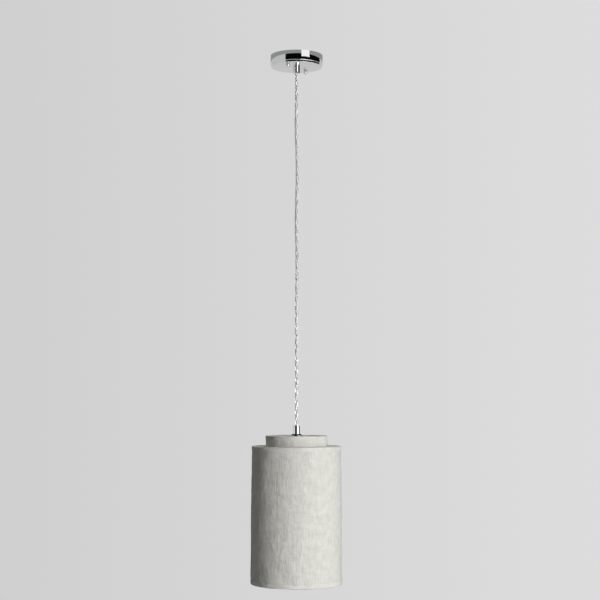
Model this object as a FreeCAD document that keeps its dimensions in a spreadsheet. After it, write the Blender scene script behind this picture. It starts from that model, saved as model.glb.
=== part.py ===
"""Pendant ceiling light: canopy, clear cord and a two-tier drum shade with its lamp.

Millimetres, +Z up. The origin is the middle of the ceiling plane, where the fixed
crossbar meets the ceiling box, so everything but the bar's own fasteners hangs below it.
"""
import FreeCAD
import Part
import math
import os
import Sketcher

from FreeCAD import Placement, Rotation, Vector

doc = FreeCAD.newDocument("pendant_light")
sheet = doc.addObject("Spreadsheet::Sheet", "Sizes")

DRIVING = {
    # ceiling bars
    "bar_length": 101.6,
    "swivel_bar_length": 104.0,
    "bar_width": 19.0,
    "bar_thickness": 1.6,
    "bar_gap": 0.3,
    "slot_spacing": 79.375,
    "slot_length": 14.3,
    "slot_width": 4.8,
    "rivet_diameter": 12.0,
    "rivet_bore": 9.0,
    "rivet_head_diameter": 17.0,
    "rivet_head_thickness": 0.8,
    "ground_screw_offset": 19.0,
    "ground_screw_diameter": 4.8,
    "ground_head_width": 7.9,
    "ground_head_height": 2.8,
    # studs and nuts that hold the canopy
    "stud_spacing": 88.9,
    "stud_angle": 61.0,
    "stud_diameter": 4.16,
    "stud_rise": 4.0,
    "stud_grip": 4.6,
    "locknut_width": 8.7,
    "locknut_height": 3.2,
    "ball_nut_diameter": 10.2,
    "ball_nut_seat_diameter": 6.4,
    "ball_nut_spare_thread": 0.4,
    # canopy
    "canopy_diameter": 127.0,
    "canopy_height": 28.0,
    "canopy_wall": 0.8,
    "canopy_edge_radius": 2.0,
    "canopy_step_inset": 2.6,
    "canopy_step_height": 2.4,
    "canopy_step_edge": 0.6,
    # cord and the grips at its two ends
    "cord_diameter": 7.0,
    "cord_length": 856.0,
    "cord_neck_length": 10.0,
    "cord_joint_gap": 0.3,
    "cord_clearance": 0.15,
    "grip_diameter": 17.0,
    "grip_length": 16.0,
    "grip_mouth": 0.8,
    "grip_edge": 1.0,
    "grip_thread_length": 9.0,
    "grip_thread_wall": 1.1,
    "grip_screw_diameter": 3.0,
    "grip_screw_drop": 7.0,
    "grip_screw_stand": 0.5,
    "grip_washer_diameter": 16.0,
    "grip_washer_thickness": 0.8,
    "grip_nut_width": 14.0,
    "grip_nut_height": 3.5,
    "cord_tail_rise": 9.5,
    # leads and connectors inside the canopy
    "lead_diameter": 2.2,
    "lead_offset": 1.8,
    "lead_bend": 3.5,
    "lead_stub": 0.5,
    "lead_run": 18.0,
    "lead_spread": 80.0,
    "lead_turn": 105.0,
    "connector_length": 24.0,
    "connector_mouth_diameter": 12.0,
    "connector_tip_diameter": 7.0,
    "connector_tip_edge": 1.0,
    "connector_overlap": 0.5,
    # shade grip, flange and stem
    "shade_grip_length": 20.8,
    "shade_grip_socket": 7.3,
    "shade_grip_floor": 1.0,
    "flange_diameter": 29.0,
    "flange_thickness": 3.0,
    "flange_edge": 2.2,
    "stem_diameter": 8.0,
    "stem_bore": 5.5,
    "stem_washer_diameter": 16.0,
    "stem_washer_thickness": 1.0,
    "stem_nut_width": 13.0,
    "stem_nut_height": 5.0,
    # shade
    "upper_drum_diameter": 147.4,
    "upper_drum_height": 24.8,
    "shade_top_diameter": 213.6,
    "shade_flare": 4.6,
    "shade_height": 324.6,
    "laminate": 1.2,
    "cover_thickness": 1.6,
    "wire_diameter": 3.2,
    "hub_diameter": 34.0,
    "hub_thickness": 2.0,
    "arm_root": 4.0,
    "arm_bend": 5.0,
    "arm_foot_bend": 2.4,
    "weld_bite": 2.4,
    "trim_thickness": 0.5,
    "trim_width": 9.0,
    "trim_return": 7.0,
    # lampholder
    "socket_drop": 60.0,
    "socket_neck_diameter": 14.0,
    "socket_neck_length": 7.0,
    "socket_cap_height": 24.0,
    "socket_diameter": 38.0,
    "socket_wall": 2.0,
    "socket_body_height": 33.0,
    "socket_body_taper": 0.5,
    "insulator_thickness": 4.5,
    "shell_clearance": 0.4,
    "shell_wall": 0.4,
    "shell_length": 27.0,
    "contact_depth": 4.5,
    "contact_thickness": 0.5,
    "contact_width": 6.0,
    "terminal_offset": 10.0,
    "terminal_head_diameter": 6.0,
    "terminal_head_height": 2.2,
    "terminal_head_edge": 0.6,
    "terminal_shank_diameter": 3.0,
    # bulb
    "bulb_gap": 0.4,
    "bulb_thread_diameter": 25.8,
    "bulb_base_length": 27.0,
    "bulb_base_wall": 0.4,
    "bulb_base_shoulder": 1.5,
    "bulb_base_flare": 0.4,
    "bulb_base_flare_length": 2.0,
    "bulb_diameter": 60.0,
    "bulb_length": 108.0,
    "bulb_glass_wall": 0.8,
    "bulb_glass_neck": 6.0,
    "bulb_tip_diameter": 9.0,
    "bulb_tip_height": 1.5,
    "bulb_tip_margin": 0.5,
    "bulb_insulator_height": 4.5,
    # the gap round a fastener or a piece that slips into another
    "fit": 0.05,
}

for row, (alias, number) in enumerate(DRIVING.items(), start=1):
    sheet.set(f"A{row}", alias)
    sheet.set(f"B{row}", str(number))
    sheet.setAlias(f"B{row}", alias)
doc.recompute()


class Size:
    """A length that carries its number and the spreadsheet expression behind it."""

    def __init__(self, number, text):
        self.number = number
        self.text = text

    def joined(self, sign, other, number):
        return Size(number, f"({self.text} {sign} {as_size(other).text})")

    def __add__(self, other):
        return self.joined("+", other, self.number + as_size(other).number)

    def __sub__(self, other):
        return self.joined("-", other, self.number - as_size(other).number)

    def __mul__(self, other):
        return self.joined("*", other, self.number * as_size(other).number)

    def __truediv__(self, other):
        return self.joined("/", other, self.number / as_size(other).number)

    def __radd__(self, other):
        return as_size(other) + self

    def __rsub__(self, other):
        return as_size(other) - self

    def __rmul__(self, other):
        return as_size(other) * self

    def __neg__(self):
        return Size(-self.number, f"(0 - {self.text})")

    def root(self):
        return Size(math.sqrt(self.number), f"sqrt({self.text})")


def as_size(value):
    return value if isinstance(value, Size) else Size(float(value), str(float(value)))


class Sheet:
    """The spreadsheet's cells by name, each as a Size."""

    def __getattr__(self, alias):
        return Size(float(getattr(sheet, alias)), f"Sizes.{alias}")


d = Sheet()
pieces = {}


def bind(thing, path, value):
    thing.setExpression(path, as_size(value).text)


def put(thing, x=0, y=0, z=0, turn=0, axis=Vector(0, 0, 1)):
    """Places a piece at a point of the frame, turned about an axis through that point."""
    x, y, z, turn = (as_size(value) for value in (x, y, z, turn))
    place = Vector(x.number, y.number, z.number)
    thing.Placement = Placement(place, Rotation(axis, turn.number))
    bind(thing, "Placement.Base.x", x)
    bind(thing, "Placement.Base.y", y)
    bind(thing, "Placement.Base.z", z)
    if turn.number:
        bind(thing, "Placement.Rotation.Angle", turn)


def keep(label, thing):
    thing.Label = label
    pieces[label] = thing
    return thing


# ---- sketches

def new_body(label):
    return doc.addObject("PartDesign::Body", label + "_body")


def new_sketch(body, role, name, lift=None):
    plane = next(item for item in body.Origin.OriginFeatures if item.Role == role)
    sketch = body.newObject("Sketcher::SketchObject", name)
    sketch.AttachmentSupport = (plane, [""])
    sketch.MapMode = "FlatFace"
    if lift is not None:
        sketch.AttachmentOffset = Placement(Vector(0, 0, lift.number), Rotation())
        bind(sketch, "AttachmentOffset.Base.z", lift)
    return sketch


def fix_point(sketch, geometry, end, x, y):
    """Ties a point of the sketch to its distances from the origin."""
    for kind, value in (("DistanceX", x), ("DistanceY", y)):
        index = sketch.addConstraint(
            Sketcher.Constraint(kind, -1, 1, geometry, end, as_size(value).number))
        if isinstance(value, Size):
            sketch.setExpression(f"Constraints[{index}]", value.text)


def arc_between(start, end, radius, left):
    """Arc from start to end; left says that it bulges to the right and turns left."""
    middle = (start + end) * 0.5
    half = (end - start).Length / 2
    along = (end - start).normalize()
    side = Vector(-along.y, along.x, 0) * (1 if left else -1)
    centre = middle + side * math.sqrt(max(radius * radius - half * half, 0.0))
    first, last = (start, end) if left else (end, start)
    circle = Part.Circle(centre, Vector(0, 0, 1), radius)
    angles = [math.atan2(point.y - centre.y, point.x - centre.x) for point in (first, last)]
    return Part.ArcOfCircle(circle, *angles)


def draw_outline(sketch, corners, closed=True):
    """Draws lines and arcs through the corners.

    A corner is (x, y), or (x, y, radius) when an arc of that radius arrives at it from
    the corner before; a negative radius turns the arc to the right.
    """
    points = [Vector(as_size(c[0]).number, as_size(c[1]).number, 0) for c in corners]
    count = len(corners) if closed else len(corners) - 1
    ends = []
    for i in range(count):
        following = (i + 1) % len(corners)
        start, end = points[i], points[following]
        bend = corners[following][2] if len(corners[following]) > 2 else None
        if bend is None:
            index = sketch.addGeometry(Part.LineSegment(start, end), False)
            ends.append((index, 1, 2))
            continue
        left = as_size(bend).number > 0
        radius = bend if left else -as_size(bend)
        arc = arc_between(start, end, as_size(radius).number, left)
        index = sketch.addGeometry(arc, False)
        ends.append((index, 1, 2) if left else (index, 2, 1))
        rule = sketch.addConstraint(Sketcher.Constraint("Radius", index, as_size(radius).number))
        sketch.setExpression(f"Constraints[{rule}]", as_size(radius).text)
    for i in range(count if closed else count - 1):
        here, there = ends[i], ends[(i + 1) % count]
        sketch.addConstraint(Sketcher.Constraint("Coincident", here[0], here[2], there[0], there[1]))
    for i in range(count):
        fix_point(sketch, ends[i][0], ends[i][1], corners[i][0], corners[i][1])
    if not closed:
        fix_point(sketch, ends[-1][0], ends[-1][2], corners[-1][0], corners[-1][1])


def draw_circle(sketch, x, y, radius):
    circle = Part.Circle(Vector(as_size(x).number, as_size(y).number, 0), Vector(0, 0, 1),
                         radius.number)
    index = sketch.addGeometry(circle, False)
    rule = sketch.addConstraint(Sketcher.Constraint("Radius", index, radius.number))
    sketch.setExpression(f"Constraints[{rule}]", radius.text)
    fix_point(sketch, index, 3, x, y)


def draw_slot(sketch, x, length, width):
    """A slot along X, round at both ends, centred on x."""
    flat, radius = (length - width) / 2, width / 2
    draw_outline(sketch, [
        (x - flat, -radius, radius), (x + flat, -radius), (x + flat + radius, 0, radius),
        (x + flat, radius, radius), (x - flat, radius), (x - flat - radius, 0, radius),
    ])


# ---- features

def turn_feature(body, corners, name="profile", kind="PartDesign::Revolution"):
    sketch = new_sketch(body, "XZ_Plane", name)
    draw_outline(sketch, corners)
    feature = body.newObject(kind, name + "_turned")
    feature.Profile = sketch
    feature.ReferenceAxis = (sketch, ["V_Axis"])
    feature.Angle = 360
    sketch.Visibility = False
    return feature


def turned(label, corners, **place):
    """A piece turned about Z from a closed outline of (radius, height) corners."""
    body = new_body(label)
    turn_feature(body, corners)
    put(body, **place)
    return keep(label, body)


def pad(body, sketch, length, both_ways=False):
    feature = body.newObject("PartDesign::Pad", sketch.Name + "_pad")
    feature.Profile = sketch
    bind(feature, "Length", length)
    if both_ways:
        feature.Midplane = True
    return feature


def pocket_through(body, sketch):
    feature = body.newObject("PartDesign::Pocket", sketch.Name + "_pocket")
    feature.Profile = sketch
    feature.Type = "ThroughAll"
    feature.Midplane = True
    return feature


def cylinder(name, radius, height, x=0, y=0, z=0, turn=0, axis=Vector(0, 0, 1)):
    rod = doc.addObject("Part::Cylinder", name)
    bind(rod, "Radius", radius)
    bind(rod, "Height", height)
    put(rod, x, y, z, turn, axis)
    return rod


def cut(label, base, tool):
    result = doc.addObject("Part::Cut", label + "_cut")
    result.Base = base
    result.Tool = tool
    return keep(label, result)


def hex_nut(label, width, bore, height, x=0, y=0, z=0):
    """A hexagon nut standing on z, width across its flats."""
    block = doc.addObject("Part::Prism", label + "_block")
    block.Polygon = 6
    bind(block, "Circumradius", width / as_size(3).root())
    bind(block, "Height", height)
    put(block, x, y, z)
    hole = cylinder(label + "_hole", bore / 2, height, x, y, z)
    return cut(label, block, hole)


# ---- heights above the origin

def levels():
    """Heights of the main steps, worked down from the ceiling."""
    level = {"canopy": -d.canopy_height}
    level["grip_mouth"] = level["canopy"] - d.grip_length
    level["shade_grip"] = level["grip_mouth"] - d.cord_length
    level["flange"] = level["shade_grip"] - d.shade_grip_length
    level["top"] = level["flange"] - d.flange_thickness
    level["shoulder"] = level["top"] - d.upper_drum_height
    level["bottom"] = level["shoulder"] - d.shade_height
    level["swivel_bar"] = -(d.bar_thickness + d.bar_gap)
    level["bar_foot"] = level["swivel_bar"] - d.bar_thickness
    level["socket"] = level["top"] - d.socket_drop
    level["bulb"] = level["socket"] - d.socket_cap_height - d.contact_depth - d.bulb_gap
    return level


LEVEL = levels()
CORD_RADIUS = d.cord_diameter / 2
GRIP_BORE = CORD_RADIUS + d.cord_clearance
GRIP_RADIUS = d.grip_diameter / 2
GRIP_THREAD = GRIP_BORE + d.grip_thread_wall
STUD_RADIUS = d.stud_diameter / 2
STEM_RADIUS = d.stem_diameter / 2


# ---- ceiling bars and what holds the canopy

def crossbar_fixed():
    """Slotted bar screwed to the ceiling box; its slots take both usual screw spacings."""
    body = new_body("crossbar_fixed")
    outline = new_sketch(body, "XY_Plane", "fixed_bar_outline")
    draw_slot(outline, as_size(0), d.bar_length, d.bar_width)
    pad(body, outline, d.bar_thickness)
    doc.recompute()
    holes = new_sketch(body, "XY_Plane", "fixed_bar_holes")
    for side in (-1, 1):
        draw_slot(holes, d.slot_spacing * side / 2, d.slot_length, d.slot_width)
    draw_circle(holes, 0, 0, d.rivet_diameter / 2 + d.fit)
    pocket_through(body, holes)
    put(body, z=-d.bar_thickness)
    return keep("crossbar_fixed", body)


def crossbar_swivel():
    """Lower bar, turned to the angle that the canopy's nuts stand at."""
    body = new_body("crossbar_swivel")
    outline = new_sketch(body, "XY_Plane", "swivel_bar_outline")
    draw_slot(outline, as_size(0), d.swivel_bar_length, d.bar_width)
    pad(body, outline, d.bar_thickness)
    doc.recompute()
    holes = new_sketch(body, "XY_Plane", "swivel_bar_holes")
    for side in (-1, 1):
        draw_circle(holes, d.stud_spacing * side / 2, 0, STUD_RADIUS + d.fit)
    draw_circle(holes, d.ground_screw_offset, 0, d.ground_screw_diameter / 2 + d.fit)
    draw_circle(holes, 0, 0, d.rivet_diameter / 2 + d.fit)
    pocket_through(body, holes)
    put(body, z=LEVEL["bar_foot"], turn=d.stud_angle)
    return keep("crossbar_swivel", body)


def crossbar_rivet():
    """Hollow rivet through both bars, headed at each end, with room for the lower bar to turn."""
    bore, shank, head = d.rivet_bore / 2, d.rivet_diameter / 2, d.rivet_head_diameter / 2
    under = LEVEL["bar_foot"] - d.bar_gap
    foot = under - d.rivet_head_thickness
    return turned("crossbar_rivet", [
        (bore, foot), (head, foot), (head, under), (shank, under),
        (shank, 0), (head, 0), (head, d.rivet_head_thickness), (bore, d.rivet_head_thickness),
    ])


def around(radius, angle):
    """Offsets along X and Y of a point at a radius and an angle about Z, in degrees."""
    text = f"{as_size(angle).text} * 1 deg"
    turn = math.radians(as_size(angle).number)
    return (as_size(radius) * Size(math.cos(turn), f"cos({text})"),
            as_size(radius) * Size(math.sin(turn), f"sin({text})"))


def ground_screw():
    """Hexagon-headed ground screw, its end level with the bar's upper face."""
    x, y = around(d.ground_screw_offset, d.stud_angle)
    foot = LEVEL["bar_foot"] - d.ground_head_height
    head = doc.addObject("Part::Prism", "ground_screw_head")
    head.Polygon = 6
    bind(head, "Circumradius", d.ground_head_width / as_size(3).root())
    bind(head, "Height", d.ground_head_height)
    put(head, x, y, foot)
    shank = cylinder("ground_screw_shank", d.ground_screw_diameter / 2,
                     d.ground_head_height + d.bar_thickness, x, y, foot)
    screw = doc.addObject("Part::Fuse", "ground_screw_whole")
    screw.Base, screw.Tool = head, shank
    return keep("ground_screw", screw)


def stud_set(side, angle):
    """One stud with the nut that locks it to the bar and the ball nut under the canopy."""
    x, y = around(d.stud_spacing / 2, angle)
    top = LEVEL["swivel_bar"] + d.stud_rise
    foot = LEVEL["canopy"] - d.stud_grip
    keep(f"canopy_stud_{side}", cylinder(f"canopy_stud_{side}_rod", STUD_RADIUS, top - foot, x, y, foot))
    hex_nut(f"stud_locknut_{side}", d.locknut_width, d.stud_diameter + d.fit * 2, d.locknut_height,
            x, y, LEVEL["bar_foot"] - d.locknut_height)
    ball, seat = d.ball_nut_diameter / 2, d.ball_nut_seat_diameter / 2
    centre = -(ball * ball - seat * seat).root()
    bore = STUD_RADIUS + d.fit
    depth = -(d.stud_grip + d.ball_nut_spare_thread)
    turned(f"ball_nut_{side}", [
        (0, centre - ball), (ball, centre, ball), (seat, 0, ball), (bore, 0), (bore, depth),
        (0, depth - bore / 2),
    ], x=x, y=y, z=LEVEL["canopy"])


def canopy():
    """Spun cup, open at the ceiling, stepped in at its lower edge, with three holes in its floor."""
    rim, wall, bend = d.canopy_diameter / 2, d.canopy_wall, d.canopy_edge_radius
    floor, hole = LEVEL["canopy"], GRIP_THREAD + d.fit
    disc, ledge, edge = rim - d.canopy_step_inset, floor + d.canopy_step_height, d.canopy_step_edge
    body = new_body("canopy")
    turn_feature(body, [
        (hole, floor), (disc - edge, floor), (disc, floor + edge, edge), (disc, ledge),
        (rim - bend, ledge), (rim, ledge + bend, bend), (rim, 0), (rim - wall, 0),
        (rim - wall, ledge + bend), (rim - bend, ledge + wall, -(bend - wall)),
        (disc - wall, ledge + wall), (disc - wall, floor + wall), (hole, floor + wall),
    ], "canopy_wall")
    doc.recompute()
    holes = new_sketch(body, "XY_Plane", "canopy_stud_holes")
    for side in (-1, 1):
        draw_circle(holes, d.stud_spacing * side / 2, 0, STUD_RADIUS + d.fit * 4)
    pocket_through(body, holes)
    put(body, turn=d.stud_angle)
    return keep("canopy", body)


# ---- cord grips, cord and leads

def side_hole(label, body, depth_radius, height):
    """Cuts the set screw's hole into the back of a grip."""
    tool = cylinder(label + "_side_hole", d.grip_screw_diameter / 2 + d.fit, depth_radius, 0, 0, height,
                    -90, Vector(1, 0, 0))
    return cut(label, body, tool)


def grip_screw(label, radius, height):
    """Headless set screw in the back of a grip, stopping just short of the cord."""
    start = GRIP_BORE
    return keep(label, cylinder(label + "_rod", d.grip_screw_diameter / 2,
                                radius + d.grip_screw_stand - start, 0, start, height,
                                -90, Vector(1, 0, 0)))


def canopy_grip():
    """Turned strain relief: a plain barrel below the canopy, threaded above it."""
    floor, mouth = LEVEL["canopy"], LEVEL["grip_mouth"]
    top = floor + d.grip_thread_length
    body = new_body("canopy_grip")
    turn_feature(body, [
        (GRIP_BORE + d.grip_mouth, mouth), (GRIP_RADIUS - d.grip_edge, mouth),
        (GRIP_RADIUS, mouth + d.grip_edge, d.grip_edge), (GRIP_RADIUS, floor), (GRIP_THREAD, floor),
        (GRIP_THREAD, top), (GRIP_BORE, top), (GRIP_BORE, mouth + d.grip_mouth),
    ])
    height = floor - d.grip_screw_drop
    side_hole("canopy_grip", body, GRIP_RADIUS * 2, height)
    grip_screw("canopy_grip_screw", GRIP_RADIUS, height)
    inside = floor + d.canopy_wall
    washer = d.grip_washer_diameter / 2
    turned("canopy_grip_washer", [
        (GRIP_THREAD + d.fit, 0), (washer, 0), (washer, d.grip_washer_thickness),
        (GRIP_THREAD + d.fit, d.grip_washer_thickness),
    ], z=inside)
    hex_nut("canopy_grip_nut", d.grip_nut_width, (GRIP_THREAD + d.fit) * 2, d.grip_nut_height,
            z=inside + d.grip_washer_thickness)


def cord_pieces():
    """The cord: its clamped tail, the short neck that bends, and the long straight run.

    The neck's and the run's tops are round about the points they swing on, and the
    piece above each has a matching hollow, so they turn without touching.
    """
    ball, cup = CORD_RADIUS, CORD_RADIUS + d.cord_joint_gap
    rim = (cup * cup - ball * ball).root()
    tail_top = LEVEL["canopy"] + d.cord_tail_rise
    turned("cord_tail", [
        (0, cup), (ball, rim, -cup), (ball, tail_top - LEVEL["grip_mouth"]),
        (0, tail_top - LEVEL["grip_mouth"]),
    ], z=LEVEL["grip_mouth"])
    neck = d.cord_neck_length
    turned("cord_neck", [
        (0, cup - neck), (ball, rim - neck, -cup), (ball, 0), (0, ball, ball),
    ], z=LEVEL["grip_mouth"])
    pivot = LEVEL["grip_mouth"] - neck
    foot = LEVEL["flange"] + d.shade_grip_socket + d.shade_grip_floor + d.cord_joint_gap
    turned("cord", [
        (0, foot - pivot), (ball, foot - pivot), (ball, 0), (0, ball, ball),
    ], z=pivot)


def lead_body(label, start, turn):
    """A lead that leaves the cord's tail, bends over and runs out to its connector."""
    body = new_body(label)
    path = new_sketch(body, "XZ_Plane", label + "_path")
    level = d.lead_bend
    draw_outline(path, [
        (start, 0), (start, d.lead_stub), (start + level, level + d.lead_stub, -level),
        (start + level + d.lead_run, level + d.lead_stub),
    ], closed=False)
    section = new_sketch(body, "XY_Plane", label + "_section")
    draw_circle(section, start, 0, d.lead_diameter / 2)
    pipe = body.newObject("PartDesign::AdditivePipe", label + "_pipe")
    pipe.Profile = section
    pipe.Spine = path
    put(body, z=LEVEL["canopy"] + d.cord_tail_rise, turn=turn)
    return keep(label, body)


def connector(name, start, turn):
    """Twist-on connector over the end of a lead, lying flat in the canopy."""
    mouth, tip = d.connector_mouth_diameter / 2, d.connector_tip_diameter / 2
    bore, long, edge = d.lead_diameter / 2 + d.fit, d.connector_length, d.connector_tip_edge
    height = LEVEL["canopy"] + d.cord_tail_rise + d.lead_bend + d.lead_stub
    reach = start + d.lead_bend + d.lead_run
    body = new_body(f"wire_connector_{name}")
    turn_feature(body, [
        (bore, 0), (mouth, 0), (mouth, long / 4), (tip, long - edge), (tip - edge, long), (0, long),
        (0, long / 2), (bore, long / 2),
    ])
    x, y = around(reach - long / 2 + d.connector_overlap, turn)
    angle = as_size(turn).number
    body.Placement = Placement(Vector(x.number, y.number, height.number),
                               Rotation(angle, 90, 0))
    bind(body, "Placement.Base.x", x)
    bind(body, "Placement.Base.y", y)
    bind(body, "Placement.Base.z", height)
    return keep(f"wire_connector_{name}", body)


def leads():
    for index, name in enumerate(("line", "neutral")):
        turn = d.lead_turn + d.lead_spread * index
        lead_body(f"{name}_lead", d.lead_offset, turn)
        connector(name, d.lead_offset, turn)


# ---- what hangs the shade

def shade_grip():
    """Barrel that takes the cord's end above and the stem's thread below."""
    foot = LEVEL["flange"]
    top, seat = d.shade_grip_length, d.shade_grip_socket + d.shade_grip_floor
    radius, edge = GRIP_RADIUS, d.grip_edge
    passage = d.stem_bore / 2
    body = new_body("shade_grip")
    turn_feature(body, [
        (STEM_RADIUS + d.fit, 0), (radius, 0), (radius, top - edge), (radius - edge, top, edge),
        (GRIP_BORE + d.grip_mouth / 2, top), (GRIP_BORE, top - d.grip_mouth / 2), (GRIP_BORE, seat),
        (passage, seat), (passage, d.shade_grip_socket), (STEM_RADIUS + d.fit, d.shade_grip_socket),
    ])
    put(body, z=foot)
    height = foot + top - d.grip_screw_drop
    side_hole("shade_grip", body, radius * 2, height)
    grip_screw("shade_grip_screw", radius, height)
    disc, thick, edge = d.flange_diameter / 2, d.flange_thickness, d.flange_edge
    hole = STEM_RADIUS + d.fit
    turned("flange", [
        (hole, 0), (disc, 0), (disc, thick - edge), (disc - edge, thick, edge), (hole, thick),
    ], z=LEVEL["top"])


def stem_pieces():
    """Threaded tube from the grip down to the lampholder, nutted under the frame's hub."""
    top = LEVEL["flange"] + d.shade_grip_socket
    foot = LEVEL["socket"] - d.socket_neck_length
    bore = d.stem_bore / 2
    turned("stem", [(bore, foot - top), (STEM_RADIUS, foot - top), (STEM_RADIUS, 0), (bore, 0)], z=top)
    hub_foot = LEVEL["top"] - d.cover_thickness - d.hub_thickness
    washer, thick = d.stem_washer_diameter / 2, d.stem_washer_thickness
    hole = STEM_RADIUS + d.fit
    turned("stem_washer", [(hole, 0), (washer, 0), (washer, thick), (hole, thick)], z=hub_foot - thick)
    hex_nut("stem_nut", d.stem_nut_width, hole * 2, d.stem_nut_height,
            z=hub_foot - thick - d.stem_nut_height)


# ---- shade

def drum_inner():
    return d.upper_drum_diameter / 2 - d.laminate


def top_inner():
    return d.shade_top_diameter / 2 - d.laminate


def bottom_inner():
    return (d.shade_top_diameter + d.shade_flare) / 2 - d.laminate


def flare():
    """Growth of the large drum's radius per unit of height."""
    return d.shade_flare / 2 / d.shade_height


def shade_frame():
    """Welded wire frame: a hub, four cranked arms and the rings at the two upper rims."""
    wire = d.wire_diameter / 2
    small = drum_inner() - wire - d.fit
    large = top_inner() - wire - d.fit
    under = -(d.cover_thickness + wire)
    low = -(d.upper_drum_height + d.cover_thickness + wire)
    hub, bend, foot = d.hub_diameter / 2, d.arm_bend, d.arm_foot_bend
    body = new_body("shade_frame")
    turn_feature(body, [
        (STEM_RADIUS + d.fit, -d.cover_thickness - d.hub_thickness),
        (hub, -d.cover_thickness - d.hub_thickness), (hub, -d.cover_thickness),
        (STEM_RADIUS + d.fit, -d.cover_thickness),
    ], "hub")
    doc.recompute()
    path = new_sketch(body, "XZ_Plane", "arm_path")
    strut = small - d.wire_diameter + d.weld_bite
    draw_outline(path, [
        (hub - d.arm_root, under), (strut - bend, under), (strut, under - bend, -bend),
        (strut, low + foot), (strut + foot, low, foot), (large, low),
    ], closed=False)
    section = new_sketch(body, "YZ_Plane", "arm_section", hub - d.arm_root)
    draw_circle(section, 0, under, wire)
    arm = body.newObject("PartDesign::AdditivePipe", "arm")
    arm.Profile = section
    arm.Spine = path
    doc.recompute()
    arms = body.newObject("PartDesign::PolarPattern", "arms")
    arms.Originals = [arm]
    arms.Axis = (path, ["V_Axis"])
    arms.Angle = 360
    arms.Occurrences = 4
    body.Tip = arms
    doc.recompute()
    for name, radius, height in (("small_ring", small, under), ("large_ring", large, low)):
        sketch = new_sketch(body, "XZ_Plane", name)
        draw_circle(sketch, radius, height, wire)
        ring = body.newObject("PartDesign::Revolution", name + "_turned")
        ring.Profile = sketch
        ring.ReferenceAxis = (sketch, ["V_Axis"])
        ring.Angle = 360
        doc.recompute()
    put(body, z=LEVEL["top"])
    return keep("shade_frame", body)


def lower_ring():
    """Loose wire ring rolled into the shade's lower hem."""
    wire = d.wire_diameter / 2
    ring = doc.addObject("Part::Torus", "lower_ring_wire")
    bind(ring, "Radius1", bottom_inner() - wire - d.fit * 2)
    bind(ring, "Radius2", wire)
    put(ring, z=LEVEL["bottom"] + wire)
    return keep("lower_ring", ring)


def shade_shells():
    """Covers and walls of laminated fabric, each wall standing on the cover below it."""
    drum, top = drum_inner(), top_inner()
    wall, cover = d.laminate, d.cover_thickness
    turned("top_cover", [
        (STEM_RADIUS + d.fit, -cover), (drum - d.fit, -cover), (drum - d.fit, 0), (STEM_RADIUS + d.fit, 0),
    ], z=LEVEL["top"])
    turned("upper_drum", [
        (drum, 0), (drum + wall, 0), (drum + wall, d.upper_drum_height), (drum, d.upper_drum_height),
    ], z=LEVEL["shoulder"])
    turned("shoulder_cover", [
        (drum + d.fit, -cover), (top - d.fit, -cover), (top - d.fit, 0), (drum + d.fit, 0),
    ], z=LEVEL["shoulder"])
    bottom = bottom_inner()
    turned("lower_drum", [
        (bottom, -d.shade_height), (bottom + wall, -d.shade_height), (top + wall, 0), (top, 0),
    ], z=LEVEL["shoulder"])


def trims():
    """Folded fabric bands over the two upper rims and round the lower edge."""
    thick, width, back = d.trim_thickness, d.trim_width, d.trim_return
    drum = drum_inner() + d.laminate
    turned("top_trim", [
        (drum, -width), (drum + thick, -width), (drum + thick, 0), (drum, thick, thick),
        (drum - back, thick), (drum - back, 0), (drum, 0),
    ], z=LEVEL["top"])
    top = top_inner() + d.laminate
    lower = top + flare() * width
    turned("shoulder_trim", [
        (lower, -width), (lower + thick, -width), (top + thick, 0), (top, thick, thick),
        (top - back, thick), (top - back, 0), (top, 0),
    ], z=LEVEL["shoulder"])
    bottom = bottom_inner() + d.laminate
    upper = bottom - flare() * width
    inside = bottom_inner() - d.wire_diameter - d.fit * 3
    turned("bottom_trim", [
        (upper, width), (bottom, 0), (inside, 0), (inside, width), (inside - thick, width),
        (inside - thick, 0), (inside, -thick, thick), (bottom, -thick), (bottom + thick, 0, thick),
        (upper + thick, width),
    ], z=LEVEL["bottom"])


# ---- lampholder and bulb

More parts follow.
